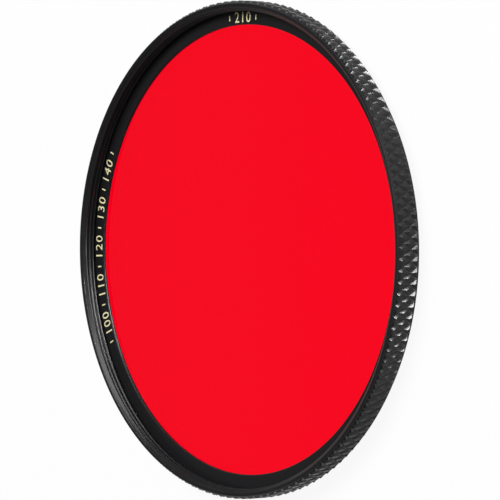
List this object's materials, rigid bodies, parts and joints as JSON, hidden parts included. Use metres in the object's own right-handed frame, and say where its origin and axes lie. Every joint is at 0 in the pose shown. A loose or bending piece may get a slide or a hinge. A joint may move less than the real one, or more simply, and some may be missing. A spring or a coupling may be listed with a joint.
{
  "type": "camera color filter",
  "caption": "Screw-in colour filter for a camera lens: a red glass disc in a slim knurled black metal ring, threaded in front and behind, held by a retaining ring.",
  "frame": {"origin": "centre of the rear end, on the optical axis, where the filter lies on a table", "axes": "+Z is the optical axis, from the rear (male) thread to the front (female) thread; +X is the side nearest in the picture and +Y is up in the picture"},
  "size_m": [0.0794, 0.0794, 0.0056],
  "materials": {
    "ring_metal": "black anodised, semi-gloss",
    "filter_glass": "polished red glass, dyed through",
    "retainer_metal": "black anodised, matt",
    "marking": "pale gold printed figures"
  },
  "bodies": {
    "root": {"filter_ring": "ring_metal", "glass_disc": "filter_glass", "retaining_ring": "retainer_metal"}
  },
  "joints": []
}
